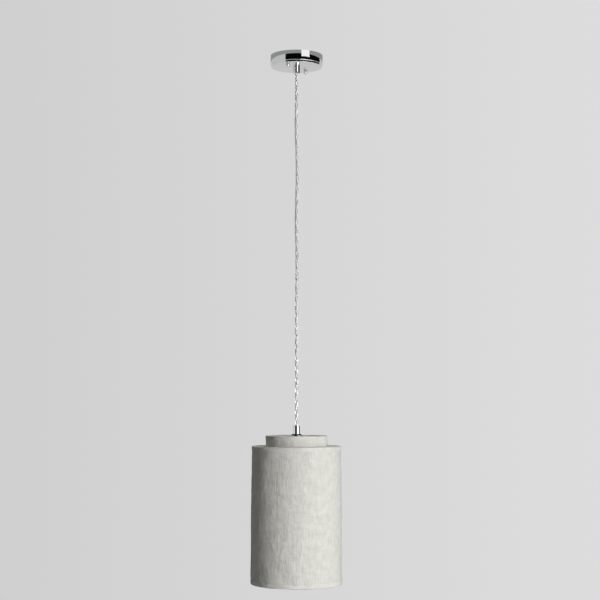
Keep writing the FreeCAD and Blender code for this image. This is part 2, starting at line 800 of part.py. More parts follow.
def lampholder():
    neck, stem = d.socket_neck_diameter / 2, STEM_RADIUS + d.fit
    outer, wall = d.socket_diameter / 2, d.socket_wall
    height, necking = d.socket_cap_height, d.socket_neck_length
    shoulder = outer - neck
    turned("socket_cap", [
        (stem, 0), (neck, 0), (neck, wall - necking), (outer, wall - necking - shoulder, -shoulder * 1.2),
        (outer, -height), (outer - wall, -height), (outer - wall, wall - necking - shoulder),
        (neck, -necking, shoulder * 1.2), (stem, -necking),
    ], z=LEVEL["socket"])
    shell = d.bulb_thread_diameter / 2 + d.shell_clearance
    inner = shell + d.shell_wall
    turned("socket_body", [
        (inner + d.fit, 0), (outer, 0), (outer - d.socket_body_taper, -d.socket_body_height),
        (inner + d.fit, -d.socket_body_height),
    ], z=LEVEL["socket"] - height)
    face = LEVEL["socket"] - height
    puck = d.insulator_thickness
    body = new_body("socket_insulator")
    sketch = new_sketch(body, "XY_Plane", "insulator_outline")
    draw_circle(sketch, 0, 0, outer - wall - d.fit)
    pad(body, sketch, puck)
    doc.recompute()
    holes = new_sketch(body, "XY_Plane", "insulator_holes")
    for side in (-1, 1):
        draw_circle(holes, 0, d.terminal_offset * side, d.terminal_shank_diameter / 2 + d.fit)
    pocket_through(body, holes)
    put(body, z=face)
    keep("socket_insulator", body)
    turned("socket_shell", [
        (shell, -d.shell_length), (inner, -d.shell_length), (inner, 0), (shell, 0),
    ], z=face)
    contact = new_body("socket_contact")
    strip = new_sketch(contact, "XZ_Plane", "contact_strip")
    drop, thick, reach = d.contact_depth - d.contact_thickness, d.contact_thickness, d.contact_width
    draw_outline(strip, [
        (-reach * 1.5, -thick), (-reach, -thick), (-reach / 4, -drop - thick), (reach * 0.7, -drop - thick),
        (reach * 0.7, -drop), (-reach / 4 + thick / 2, -drop), (-reach + thick / 2, 0), (-reach * 1.5, 0),
    ])
    pad(contact, strip, d.contact_width, both_ways=True)
    put(contact, z=face)
    keep("socket_contact", contact)
    for side, name in ((-1, "line"), (1, "neutral")):
        shank, head = d.terminal_shank_diameter / 2, d.terminal_head_diameter / 2
        tall, edge = d.terminal_head_height, d.terminal_head_edge
        turned(f"terminal_screw_{name}", [
            (0, -puck), (shank, -puck), (shank, 0), (head, 0), (head, tall - edge), (head - edge, tall, edge),
            (0, tall),
        ], y=d.terminal_offset * side, z=face + puck)
        wire_top = LEVEL["flange"] + d.shade_grip_socket + d.shade_grip_floor
        keep(f"socket_wire_{name}", cylinder(
            f"socket_wire_{name}_core", d.lead_diameter / 2, wire_top - face - puck,
            0, (d.lead_diameter / 2 + d.fit * 2) * side, face + puck))


def bulb():
    """Screw-base bulb hanging cap upwards; its outline is a cone running into a ball."""
    tip, high = d.bulb_tip_diameter / 2, d.bulb_tip_height
    turned("bulb_tip", [(0, -high), (tip, -high), (tip, -high / 2), (tip * 0.6, 0), (0, 0)], z=LEVEL["bulb"])
    thread, wall = d.bulb_thread_diameter / 2, d.bulb_base_wall
    seat, shoulder = high + d.bulb_insulator_height, d.bulb_base_shoulder
    turned("bulb_insulator", [
        (0, -seat), (thread - shoulder, -seat), (tip + d.bulb_tip_margin, -high), (0, -high),
    ], z=LEVEL["bulb"])
    long, mouth = d.bulb_base_length, thread + d.bulb_base_flare
    waist = d.bulb_base_flare_length - long
    turned("bulb_base", [
        (thread - shoulder, -seat), (thread, -seat - shoulder), (thread, waist), (mouth, -long),
        (mouth - wall, -long), (thread - wall, waist), (thread - wall, -seat - shoulder - wall / 2),
        (thread - shoulder - wall, -seat - wall), (0, -seat - wall), (0, -seat),
    ], z=LEVEL["bulb"])
    neck, centre = thread - wall - d.fit, d.bulb_diameter / 2 - d.bulb_length
    shapes = []
    for inset in (as_size(0), d.bulb_glass_wall):
        ball = d.bulb_diameter / 2 - inset
        x, rise = neck - inset, -long - centre
        across = x * x + rise * rise
        reach = (across - ball * ball).root()
        touch_x = (ball * ball * x + ball * reach * rise) / across
        touch_z = centre + (ball * ball * rise - ball * reach * x) / across
        shapes.append((x, ball, touch_x, touch_z))
    (x, ball, touch_x, touch_z), (ix, inner, inner_x, inner_z) = shapes
    top = d.bulb_glass_neck - long
    turned("bulb_glass", [
        (x, top), (ix, top), (ix, -long), (inner_x, inner_z), (inner, centre, -inner),
        (0, centre - inner, -inner), (0, centre - ball), (ball, centre, ball), (touch_x, touch_z, ball),
        (x, -long),
    ], z=LEVEL["bulb"])


def check_and_write():
    doc.recompute()
    for thing in doc.Objects:
        for state in thing.State:
            if "Invalid" in state or "Error" in state:
                raise RuntimeError(f"{thing.Label}: {thing.State}")
    os.makedirs("parts", exist_ok=True)
    for label, thing in pieces.items():
        shape = thing.Shape
        if shape.isNull() or not shape.isValid() or not shape.Solids:
            raise RuntimeError(f"{label} has no valid solid")
        shape.exportStep(f"parts/{label}.step")
    print(len(pieces), "pieces written")


crossbar_fixed()
crossbar_rivet()
crossbar_swivel()
ground_screw()
for side, offset in (("right", 0), ("left", 180)):
    stud_set(side, d.stud_angle + offset)
canopy()
canopy_grip()
cord_pieces()
leads()
shade_grip()
stem_pieces()
shade_frame()
lower_ring()
shade_shells()
trims()
lampholder()
bulb()
check_and_write()
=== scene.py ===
import math

import bmesh
import bpy
import numpy as np
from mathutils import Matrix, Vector


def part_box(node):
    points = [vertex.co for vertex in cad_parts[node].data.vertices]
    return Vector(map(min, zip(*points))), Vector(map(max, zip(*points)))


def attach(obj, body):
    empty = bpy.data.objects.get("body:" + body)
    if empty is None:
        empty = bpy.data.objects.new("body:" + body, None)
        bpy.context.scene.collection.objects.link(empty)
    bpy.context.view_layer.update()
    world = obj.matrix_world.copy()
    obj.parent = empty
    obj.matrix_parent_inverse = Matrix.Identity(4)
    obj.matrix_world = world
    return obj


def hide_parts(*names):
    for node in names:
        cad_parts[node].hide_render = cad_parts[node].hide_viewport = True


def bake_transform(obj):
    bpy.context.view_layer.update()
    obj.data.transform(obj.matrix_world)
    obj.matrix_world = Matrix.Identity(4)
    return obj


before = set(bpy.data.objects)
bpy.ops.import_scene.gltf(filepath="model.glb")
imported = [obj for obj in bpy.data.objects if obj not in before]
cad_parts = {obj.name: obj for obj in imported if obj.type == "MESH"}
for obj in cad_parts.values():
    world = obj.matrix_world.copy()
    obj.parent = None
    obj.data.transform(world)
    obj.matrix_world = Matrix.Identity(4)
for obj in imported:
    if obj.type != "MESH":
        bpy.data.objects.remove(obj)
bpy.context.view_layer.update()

scene = bpy.context.scene
mm = 0.001
print("frame loaded")


def newObject(name, data):
    made = bpy.data.objects.new(name, data)
    scene.collection.objects.link(made)
    return made


# the camera stands at the shade's height and looks slightly up
cameraView = {"lens": 84.0, "sensor": 36.0, "place": (0.0083, -3.370, -0.8334), "tilt": 94.004}

cameraData = bpy.data.cameras.new("camera")
cameraData.lens = cameraView["lens"]
cameraData.sensor_width = cameraView["sensor"]
camera = newObject("camera", cameraData)
camera.location = cameraView["place"]
camera.rotation_euler = (math.radians(cameraView["tilt"]), 0.0, 0.0)
scene.camera = camera
print("camera placed")


# sRGB hex to linear: below 0.04045 divide by 12.92, above it the 2.4 power curve
def linear(hexColour, alpha=1.0):
    parts = [int(hexColour[i:i + 2], 16) / 255 for i in (1, 3, 5)]
    return (*[p / 12.92 if p <= 0.04045 else ((p + 0.055) / 1.055) ** 2.4 for p in parts], alpha)


# inputs maps a socket's name or number to a value or to the socket that feeds it
def addNode(tree, kind, inputs=None, stops=None, **settings):
    node = tree.nodes.new("ShaderNode" + kind)
    for name, value in settings.items():
        setattr(node, name, value)
    for name, value in (inputs or {}).items():
        if isinstance(value, bpy.types.NodeSocket):
            tree.links.new(value, node.inputs[name])
        else:
            node.inputs[name].default_value = value
    for i, (place, hexColour) in enumerate(stops or []):
        point = node.color_ramp.elements[i] if i < 2 else node.color_ramp.elements.new(place)
        point.position, point.color = place, linear(hexColour)
    return node


# a material that starts as one Principled shader with these socket values
def newFinish(name, **sockets):
    material = bpy.data.materials.new(name)
    material.use_nodes = True
    tree = material.node_tree
    shader = tree.nodes["Principled BSDF"]
    for socket, value in sockets.items():
        shader.inputs[socket.replace("_", " ")].default_value = value
    return material, tree, shader


# gives each named socket of the shader a node's first output
def feed(tree, shader, **sources):
    for socket, node in sources.items():
        tree.links.new(node.outputs[0], shader.inputs[socket.replace("_", " ")])


# a MapRange node's inputs: the value, then from, to, and the values there
def span(value, limits):
    return {0: value, **dict(enumerate(limits, 1))}


# a finish of noise on the object's own coordinates. A cloud of this size, detail and roughness
# gives the tint its stops and the roughness its range; a grain of this size, strength and depth
# gives the bump. Sizes are in mm.
def cloudyFinish(name, cloud=None, stops=None, rough=None, grain=None, **sockets):
    material, tree, shader = newFinish(name, **sockets)
    place = addNode(tree, "TexCoord").outputs["Object"]
    if cloud:
        size, detail, harsh = cloud
        cloud = addNode(tree, "TexNoise", {"Vector": place, "Scale": 1 / (size * mm),
                                           "Detail": detail, "Roughness": harsh}).outputs[0]
    if stops:
        feed(tree, shader, Base_Color=addNode(tree, "ValToRGB", {0: cloud}, stops=stops))
    if rough:
        feed(tree, shader, Roughness=addNode(tree, "MapRange", span(cloud, rough)))
    if grain:
        size, strength, depth = grain
        fine = addNode(tree, "TexNoise", {"Vector": place, "Scale": 1 / (size * mm)})
        feed(tree, shader, Normal=addNode(tree, "Bump", {
            "Strength": strength, "Distance": depth * mm, "Height": fine.outputs[0]}))
    return material


# the empty node tree of a material or world
def bareTree(owner):
    owner.use_nodes = True
    owner.node_tree.nodes.clear()
    return owner.node_tree


# angles are in degrees, round from the camera; sizes in metres
studio = {
    "aim": (0.0, 0.0, -0.85),
    # azimuth, rise, distance, size and watts
    "lamps": {
        "keyLight": (38.0, 9.0, 3.4, (0.9, 3.0), 142.0),
        "fillLight": (-122.0, 8.0, 3.4, (0.9, 2.0), 14.0),
        "rearLight": (174.0, 28.0, 3.4, (1.6, 1.6), 60.0),
        "underLight": (14.0, -62.0, 1.6, (0.8, 0.8), 5.5),
    },
    # what polished metal sees: azimuth, width, foot, head, distance and glow. With the black
    # flags each cord grip shows a bright line between two dark ones.
    "boards": {
        "farBox": (31.5, 31.0, -1.75, -0.12, 4.0, 3.0),
        "nearBox": (53.0, 66.0, -1.30, -0.42, 1.5, 2.4),
        "leftBox": (-75.0, 70.0, -1.30, -0.42, 1.5, 0.9),
        "lowerLeftFlag": (-16.0, 70.0, -1.05, -0.84, 1.2, 0.0),
        "lowerRightFlag": (102.0, 48.0, -1.05, -0.84, 1.2, 0.0),
        "upperRightFlag": (78.0, 60.0, 0.245, 0.360, 1.5, 0.0),
    },
    # black cards above the flange, each side of the cord: from, to, half depth and height
    "cards": (0.018, 0.200, 0.120, -0.870),
    # the ceiling just round the canopy, painted grey as the canopy's shade on it, and the lit patch of
    # it between two azimuths
    "ceiling": {"radius": 0.125, "sides": 96, "height": 0.004, "colour": "#A0A09E",
                "rim": 0.064, "spot": (10.8, 29.4), "reach": 0.118, "drop": 0.001, "glow": 1.2},
    "floor": {"height": -2.4, "size": 10.0, "colour": "#7A7A78", "glow": 0.50},
    "backdrop": ("#CECECE", "#DEDEDE"), "fade": (-0.25, 0.25),    # left, right, where it turns
    "ambient": 0.080,               # what the world gives to cloth and paint
    # the room in polished metal: pale, with an unlit side and roof, and where each begins
    "room": ("#D5D5D3", "#080808"),
    "darkMiddle": 37.0, "darkHalf": 86.0, "darkEdge": (-0.06, 0.02),
    "darkFoot": (-0.44, -0.28), "darkRoof": (0.36, 0.60),
    "through": (-0.08, 0.10, 4.6, 0.05),    # clear plastic: bright from below, dark from above
}


# the way to an azimuth and rise: sideways sin a cos e, forwards -cos a cos e, up sin e
def heading(azimuth, rise=0.0):
    a, e = math.radians(azimuth), math.radians(rise)
    return Vector((math.sin(a) * math.cos(e), -math.cos(a) * math.cos(e), math.sin(e)))


# a soft lamp that lights only matt things: the glowing boards stand for it in polished metal
def softbox(name, azimuth, rise, distance, size, power):
    data = bpy.data.lights.new(name, "AREA")
    data.shape = "RECTANGLE"
    data.size, data.size_y = size
    data.energy = power
    light = newObject(name, data)
    aim = Vector(studio["aim"])
    light.location = aim + heading(azimuth, rise) * distance
    light.rotation_euler = (aim - light.location).to_track_quat("-Z", "Y").to_euler()
    light.visible_camera = light.visible_glossy = light.visible_transmission = False


# cloth is lit by a dim even grey; the eye sees the pale backdrop; metal, and whatever is seen
# through clear plastic or glass, sees a pale room with the studio's dark side and roof
def makeWorld():
    scene.world = bpy.data.worlds.new("studioWorld")
    tree = bareTree(scene.world)
    way = addNode(tree, "TexCoord").outputs["Generated"]
    axes = addNode(tree, "SeparateXYZ", {0: way}).outputs
    path = addNode(tree, "LightPath").outputs
    across = addNode(tree, "MapRange", span(axes["X"], studio["fade"]))
    pale = addNode(tree, "ValToRGB", {0: across.outputs[0]}, stops=list(enumerate(studio["backdrop"])))
    level = addNode(tree, "VectorMath", {0: way, 1: (1.0, 1.0, 0.0)}, operation="MULTIPLY")
    level = addNode(tree, "VectorMath", {0: level.outputs[0]}, operation="NORMALIZE")
    side = addNode(tree, "VectorMath", {0: level.outputs[0], 1: tuple(heading(studio["darkMiddle"]))},
                   operation="DOT_PRODUCT")
    edge = math.cos(math.radians(studio["darkHalf"]))
    facing = addNode(tree, "MapRange", span(side.outputs["Value"],
                                            [edge + soft for soft in studio["darkEdge"]]))
    low = addNode(tree, "MapRange", span(axes["Z"], studio["darkFoot"]))
    roof = addNode(tree, "MapRange", span(axes["Z"], studio["darkRoof"]))
    dark = addNode(tree, "Math", {0: low.outputs[0], 1: facing.outputs[0]}, operation="MULTIPLY")
    dark = addNode(tree, "Math", {0: dark.outputs[0], 1: roof.outputs[0]}, operation="MAXIMUM")
    lit, unlit = map(linear, studio["room"])
    room = addNode(tree, "Mix", {0: dark.outputs[0], 6: lit, 7: unlit}, data_type="RGBA")
    rise = addNode(tree, "MapRange", span(axes["Z"], studio["through"]))
    room = addNode(tree, "Mix", {0: path["Is Transmission Ray"], 6: room.outputs[2],
                                 7: rise.outputs[0]}, data_type="RGBA")
    mirrored = addNode(tree, "Math", {0: path["Is Glossy Ray"], 1: path["Is Transmission Ray"]},
                       operation="MAXIMUM")
    seen = addNode(tree, "Mix", {0: mirrored.outputs[0], 6: (*[studio["ambient"]] * 3, 1.0),
                                 7: room.outputs[2]}, data_type="RGBA")
    seen = addNode(tree, "Mix", {0: path["Is Camera Ray"], 6: seen.outputs[2], 7: pale.outputs[0]},
                   data_type="RGBA")
    back = addNode(tree, "Background", {"Color": seen.outputs[2], "Strength": 1.0})
    addNode(tree, "OutputWorld", {"Surface": back.outputs[0]})


# one flat sheet of the studio, with its bare material
def studioSheet(name, corners):
    mesh = bpy.data.meshes.new(name)
    mesh.from_pydata(corners, [], [tuple(range(len(corners)))])
    mesh.materials.append(bpy.data.materials.new(name))
    sheet = newObject(name, mesh)
    return sheet, bareTree(mesh.materials[0])


# pale matt floor, whose glow is only seen, straight, mirrored or through clear plastic; from below
# it is clear, so that it hides nothing
def makeFloor():
    look = studio["floor"]
    half = look["size"] / 2
    corners = [(-half, -half), (half, -half), (half, half), (-half, half)]
    tree = studioSheet("floor", [(x, y, look["height"]) for x, y in corners])[1]
    path = addNode(tree, "LightPath").outputs
    seen = path["Is Camera Ray"]
    for ray in ("Is Glossy Ray", "Is Transmission Ray"):
        seen = addNode(tree, "Math", {0: seen, 1: path[ray]}, operation="MAXIMUM").outputs[0]
    lift = addNode(tree, "Math", {0: seen, 1: look["glow"]}, operation="MULTIPLY")
    matt = addNode(tree, "BsdfDiffuse", {"Color": linear(look["colour"])})
    glow = addNode(tree, "Emission", {"Color": linear("#FFFFFF"), "Strength": lift.outputs[0]})
    both = addNode(tree, "AddShader", {0: matt.outputs[0], 1: glow.outputs[0]})
    behind = addNode(tree, "NewGeometry").outputs["Backfacing"]
    clear = addNode(tree, "BsdfTransparent")
    out = addNode(tree, "MixShader", {0: behind, 1: both.outputs[0], 2: clear.outputs[0]})
    addNode(tree, "OutputMaterial", {"Surface": out.outputs[0]})


# a glowing or black board that is seen only as a reflection
def glowBoard(name, corners, colour, strength):
    board, tree = studioSheet(name, corners)
    glow = addNode(tree, "Emission", {"Color": linear(colour), "Strength": strength})
    addNode(tree, "OutputMaterial", {"Surface": glow.outputs[0]})
    board.visible_camera = board.visible_diffuse = board.visible_transmission = False
    board.visible_shadow = False


def makeBoards():
    look = studio["ceiling"]
    turn = around(look["sides"])
    ring = np.stack([look["radius"] * np.cos(turn), look["radius"] * np.sin(turn),
                     np.full(len(turn), look["height"])], 1)
    # the ceiling's grey is painted shade round the canopy, seen only in polished metal
    glowBoard("shadedCeilingBoard", ring.tolist(), look["colour"], 1.0)
    near = [heading(a) * look["rim"] for a in look["spot"]]
    far = [v + heading(2 * a) * look["reach"] for v, a in zip(near, look["spot"])]
    patch = [near[0], far[0], far[1], near[1]]
    glowBoard("ceilingSpot", [(v.x, v.y, look["height"] - look["drop"]) for v in patch],
              "#FFFFFF", look["glow"])
    for name, (azimuth, width, foot, head, distance, glow) in studio["boards"].items():
        left, right = [heading(azimuth + side * width) * distance for side in (-0.5, 0.5)]
        glowBoard(name, [(left.x, left.y, foot), (right.x, right.y, foot),
                         (right.x, right.y, head), (left.x, left.y, head)], "#FFFFFF", glow)
    near, far, deep, height = studio["cards"]
    outline = ((near, -deep), (far, -deep), (far, deep), (near, deep))
    for name, side in (("leftCard", -1), ("rightCard", 1)):
        glowBoard(name, [(side * x, y, height) for x, y in outline], "#000000", 0.0)


# columns of a closed turn, in radians
def around(columns):
    return np.arange(columns) * 2 * math.pi / columns


for name, lamp in studio["lamps"].items():
    softbox(name, *lamp)
makeWorld()
makeFloor()
makeBoards()
scene.view_settings.view_transform = "Standard"
print("studio lit")


# volume inside a closed mesh: a sixth of the sum of the triple products of its triangles
def volumeInside(points, triangles):
    a, b, c = [points[triangles[:, k]] for k in range(3)]
    return np.einsum("ij,ij->", a, np.cross(b, c)) / 6


# joins a grid of points, shape (rows, columns, 3), into quads: each point with the next in its row
# and column. Columns close round on themselves; rows do too, or end in a pole at each end.
def gridPiece(name, grid, closeRows=False, poles=(), uv=None, sharp=35.0):
    rows, cols = grid.shape[:2]
    across = rows if closeRows else rows - 1
    i, j = [side.ravel() for side in np.meshgrid(np.arange(across), np.arange(cols), indexing="ij")]
    ii, jj = (i + 1) % rows, (j + 1) % cols
    quads = np.stack([i * cols + j, i * cols + jj, ii * cols + jj, ii * cols + j], 1)
    points = grid.reshape(-1, 3)
    ring, fans = np.arange(cols), [np.zeros((0, 3), int)]
    for row, pole, flip in zip((0, rows - 1), poles, (False, True)):
        tip = np.full(cols, len(points))
        points = np.vstack([points, np.asarray(pole, float)[None]])
        fan = np.stack([row * cols + (ring + 1) % cols, row * cols + ring, tip], 1)
        fans.append(fan[:, ::-1] if flip else fan)
    triangles = np.vstack(fans)
    inside = volumeInside(points, np.vstack([quads[:, :3], quads[:, [0, 2, 3]], triangles]))
    if inside < 0:
        quads, triangles = quads[:, ::-1], triangles[:, ::-1]
    corners = np.concatenate([quads.ravel(), triangles.ravel()])
    starts = np.concatenate([np.arange(len(quads)) * 4, len(quads) * 4 + np.arange(len(triangles)) * 3])
    mesh = bpy.data.meshes.new(name)
    mesh.vertices.add(len(points))
    mesh.vertices.foreach_set("co", points.astype(np.float32).ravel())
    mesh.loops.add(len(corners))
    mesh.loops.foreach_set("vertex_index", corners.astype(np.int32))
    mesh.polygons.add(len(starts))
    mesh.polygons.foreach_set("loop_start", starts.astype(np.int32))
    mesh.update(calc_edges=True)
    mesh.polygons.foreach_set("use_smooth", np.ones(len(starts), bool))
    mesh.set_sharp_from_angle(angle=math.radians(sharp))
    if uv is not None:      # it has one more column and row than the grid, which has no poles
        flat = np.stack([uv[i, j], uv[i, j + 1], uv[i + 1, j + 1], uv[i + 1, j]], 1)
        flat = flat[:, ::-1] if inside < 0 else flat
        mesh.uv_layers.new(name="cloth").data.foreach_set("uv", flat.astype(np.float32).ravel())
    return newObject(name, mesh)


# dresses a finished piece: its material, the body it moves with, the CAD nodes it stands for
def dress(piece, material, body, slot, *nodes):
    piece.data.materials.append(material)
    if body:
        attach(piece, body)
    if nodes:
        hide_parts(*nodes)


# an outline with its corners rounded: at a corner of radius f the two sides stop f / tan(half the
# angle between them) short, and an arc of that radius joins them. Corners are (radius, height,
# rounding) in mm.
def rounded(corners, steps=5):
    count, made = len(corners), []
    for k, (*here, f) in enumerate([(*corner, 0.0)[:3] for corner in corners]):
        here = np.array(here, float)
        if f <= 0:
            made.append(here[None])
            continue
        before = np.array(corners[k - 1][:2], float) - here
        after = np.array(corners[(k + 1) % count][:2], float) - here
        before, after = before / np.linalg.norm(before), after / np.linalg.norm(after)
        half = math.acos(np.clip(before @ after, -1, 1)) / 2
        centre = here + (before + after) / np.linalg.norm(before + after) * f / math.sin(half)
        first = here + before * f / math.tan(half) - centre
        last = here + after * f / math.tan(half) - centre
        t = np.linspace(0, 1, steps + 1)[:, None]
        arc = first * (1 - t) + last * t
        made.append(centre + arc / np.linalg.norm(arc, axis=1)[:, None] * f)
    return np.vstack(made)


# turns radii about an upright line, in mm: x = r cos a, y = r sin a. Radii are (rows, 1) or
# (rows, columns), heights the same or one for each row.
def turned(radius, height, columns, centre=(0.0, 0.0)):
    angle = around(columns)
    height = height[:, None] if np.ndim(height) == 1 else height
    x, y = radius * np.cos(angle) + centre[0], radius * np.sin(angle) + centre[1]
    return np.stack(np.broadcast_arrays(x, y, height), 2) * mm


def turnedOutline(outline, columns):
    return turned(outline[:, 0:1], outline[:, 1], columns)


def nodeBox(name):
    low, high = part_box(name)
    return np.array(low) / mm, np.array(high) / mm


# random heights that wrap round: white noise smoothed by a Gaussian of these widths through its
# Fourier transform, then scaled to a spread of one
def softNoise(seed, shape, steps, widths):
    noise = np.random.default_rng(seed).normal(size=shape)
    up = np.fft.fftfreq(shape[0], steps[0])[:, None] * widths[0]
    about = np.fft.fftfreq(shape[1], steps[1])[None, :] * widths[1]
    smooth = np.fft.ifft2(np.fft.fft2(noise) * np.exp(-2 * math.pi ** 2 * (up ** 2 + about ** 2))).real
    return smooth / smooth.std()


cordLook = {
    "diameter": 7.0,
    "route": [      # mm: down from the canopy's grip, with the small set that a coiled cord keeps
        (0, 0, -44), (0, 0, -66), (-0.3, 0.2, -108), (-1.6, 0.6, -168), (1.2, -0.4, -246),
        (1.6, 0.2, -308), (-1.5, 0.5, -404), (1.3, -0.3, -486), (0.4, -0.6, -562), (-0.6, 0.3, -650),
        (0.5, 0.1, -742), (0.0, -0.3, -826), (0, 0, -884), (0, 0, -912.2),
    ],
    "neckSwing": (-44.0, -64.0),
    "sides": 28, "step": 2.6, "ballRows": 8, "ballTip": 0.12,   # ballTip: where its rows start, radians
    "coreDiameter": 2.5, "coreOffset": 1.45, "corePitch": 52.0,
    "coreSides": 36, "coreStep": 1.7,
    "coreLobes": 9, "lobeDepth": 0.13, "lobePitch": 19.0,
    "coreStart": -41.2, "coreEnd": -911.9,
}


# the route's own smooth line: a NURBS spline of order 3 read back as points, in mm
def routeLine(route, resolution=24):
    curve = bpy.data.curves.new("cordRoute", "CURVE")
    curve.dimensions = "3D"
    spline = curve.splines.new("NURBS")
    spline.points.add(len(route) - 1)
    weights = np.column_stack([np.array(route, float) * mm, np.ones(len(route))])
    spline.points.foreach_set("co", weights.ravel())
    spline.order_u = 3
    spline.use_endpoint_u = True
    curve.resolution_u = resolution
    holder = newObject("cordRoute", curve)
    bpy.context.view_layer.update()
    line = bpy.data.meshes.new_from_object(holder.evaluated_get(bpy.context.evaluated_depsgraph_get()))
    points = np.empty(len(line.vertices) * 3)
    line.vertices.foreach_get("co", points)
    bpy.data.objects.remove(holder)
    bpy.data.meshes.remove(line)
    bpy.data.curves.remove(curve)
    return points.reshape(-1, 3) / mm


# points every step mm of height down the line, straight on above its top, with two directions
# square to it: X with its share along the line taken out, and the cross product of the two
def alongRoute(line, start, end, step):
    heights = np.linspace(start, end, int(abs(end - start) / step) + 1)
    order = np.argsort(line[:, 2])
    x, y = [np.interp(heights, line[order, 2], line[order, k]) for k in (0, 1)]
    points = np.stack([x, y, heights], 1)
    way = np.gradient(points, axis=0)
    way /= np.linalg.norm(way, axis=1)[:, None]
    side = np.array([1.0, 0.0, 0.0]) - way * way[:, 0:1]
    side /= np.linalg.norm(side, axis=1)[:, None]
    return points, side, np.cross(way, side)


# a round tube of radius r(s) on the line: p + r (side cos a + other sin a)
def tubeGrid(points, side, other, radius, columns):
    angle = around(columns)
    radius = np.asarray(radius)
    radius = radius[:, None] if radius.ndim == 1 else radius
    return (points[:, None] + side[:, None] * (radius * np.cos(angle))[..., None]
            + other[:, None] * (radius * np.sin(angle))[..., None]) * mm


def makeCord():
    look = cordLook
    line = routeLine(look["route"])
    ball = look["diameter"] / 2
    top, foot = look["route"][0][2], look["route"][-1][2]
    # the top is a half ball about the point that the cord swings on
    points, side, other = alongRoute(line, top, foot, look["step"])
    rise = np.cos(np.linspace(look["ballTip"], math.pi / 2, look["ballRows"], endpoint=False)) * ball
    cap = np.stack([np.zeros_like(rise), np.zeros_like(rise), top + rise], 1)
    whole = np.vstack([cap, points])
    side, other = [np.vstack([np.repeat(way[:1], len(rise), 0), way]) for way in (side, other)]
    radius = np.concatenate([np.sqrt(ball ** 2 - rise ** 2), np.full(len(points), ball)])
    grid = tubeGrid(whole, side, other, radius, look["sides"])
    jacket = gridPiece("cordJacket", grid, poles=((0, 0, (top + ball) * mm), points[-1] * mm), sharp=50)
    cores = []
    middle, side, other = alongRoute(line, look["coreStart"], look["coreEnd"], look["coreStep"])
    for k, name in enumerate(("cordCoreBright", "cordCorePlain")):
        turn = middle[:, 2] / look["corePitch"] * 2 * math.pi + math.pi * k
        out = side * np.cos(turn)[:, None] + other * np.sin(turn)[:, None]
        centre = middle + out * look["coreOffset"]
        # each core is a bunch of tinned wires, so its section has lobes that wind the other way
        wind = -centre[:, 2:3] / look["lobePitch"] * 2 * math.pi
        lobes = np.abs(np.sin(look["coreLobes"] / 2 * (around(look["coreSides"]) - wind)))
        radius = look["coreDiameter"] / 2 - look["lobeDepth"] * (1 - lobes)
        grid = tubeGrid(centre, side, other, radius, look["coreSides"])
        cores.append(gridPiece(name, grid, poles=(centre[0] * mm, centre[-1] * mm), sharp=80))
    path = points * mm
    length = float(np.linalg.norm(np.diff(path, axis=0), axis=1).sum())
    return jacket, cores, path, length


jacket, cores, cordPath, cordLength = makeCord()
# soft PVC sheath, clear: the cores show through it, bent and brightened by its round surface
pvc = cloudyFinish("clearPvc", grain=(9, 0.25, 0.3), Base_Color=linear("#FDFDFD"), IOR=1.53,
                   Transmission_Weight=0.84, Roughness=0.10)
# bunched copper wires, hot tinned: bright silver with grey between the wires
tinned = cloudyFinish("tinnedCopper", (16, 4.0, 0.6), [(0.35, "#BABBBC"), (0.65, "#DCDDDE")],
                      (0.3, 0.7, 0.54, 0.42), Metallic=1.0)
dress(jacket, pvc, None, "clear_pvc", "cord", "cord_neck")
for core in cores:
    dress(core, tinned, None, "clear_pvc")
for piece in (jacket, *cores):      # each piece's transform, baked into its mesh
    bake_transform(piece)
print("cord hung, length", round(cordLength, 4))


clothLook = {
    "thickness": 0.6,           # mm, cloth and its glue on the stiff liner
    "slubHeight": 0.20,         # thick places in the yarn stand this proud
    # slubs: widths up and round, then the noise that starts one, its most and what divides it
    "upright": ((15.0, 0.9), 0.5, 2.5, 2.5), "level": ((1.0, 12.0), 1.1, 2.0, 3.0),
    # waves where it was rolled on by hand: spread in mm, and widths up and round
    "waves": ((0.42, 32.0, 24.0), (0.34, 13.0, 9.5), (0.18, 4.0, 3.0)),
    "sink": 0.5,                # no wave goes deeper than this
    "rimFade": 14.0,            # the waves die out this near a hem
    "seamWidth": 8.0, "seamStep": 0.35, "seamAngle": 90.0, "seamReach": 1.2, "seamEdge": 0.35,
    "wall": (168, 480), "band": (20, 480), "disc": (26, 240),      # rows and columns
    "insideRows": 8,
    "discWave": (12.0, 22.0), "discRelief": 0.05, "discFade": 6.0,
    "hemWaves": ((3.0, 7.0, 0.6), (6.0, 30.0, 1.0)), "hemSway": 0.06,   # widths and share of each
}


# how far the cloth stands off its smooth drum, in mm: upright slubs, a few level ones and waves,
# each smoothed noise, plus a step up over the lap seam at the back. Where a wave goes inwards it
# is bent to sink * tanh(wave / sink).
def clothRelief(seed, rows, columns, height, girth):
    look, shape, steps = clothLook, (rows, columns), (height / rows, girth / columns)
    slub = 0.0
    for k, name in enumerate(("upright", "level")):
        widths, start, most, scale = look[name]
        slub = slub + np.clip(softNoise(seed + k, shape, steps, widths) - start, 0, most) / scale
    wave = sum(spread * softNoise(seed + 2 + k, shape, steps, widths)
               for k, (spread, *widths) in enumerate(look["waves"]))
    wave = np.where(wave < 0, look["sink"] * np.tanh(wave / look["sink"]), wave)
    up = np.linspace(0, height, rows)
    wave *= np.clip(np.minimum(up, height - up) / look["rimFade"], 0, 1)[:, None]
    angle = np.arange(columns) * 360.0 / columns - look["seamAngle"]
    arc = ((angle + 180) % 360 - 180) / 360 * girth
    lap = np.clip(look["seamReach"] - np.abs(arc) / look["seamWidth"] * 2, 0, look["seamEdge"])
    lap = lap / look["seamEdge"]
    return look["slubHeight"] * slub + wave + look["seamStep"] * lap[None]


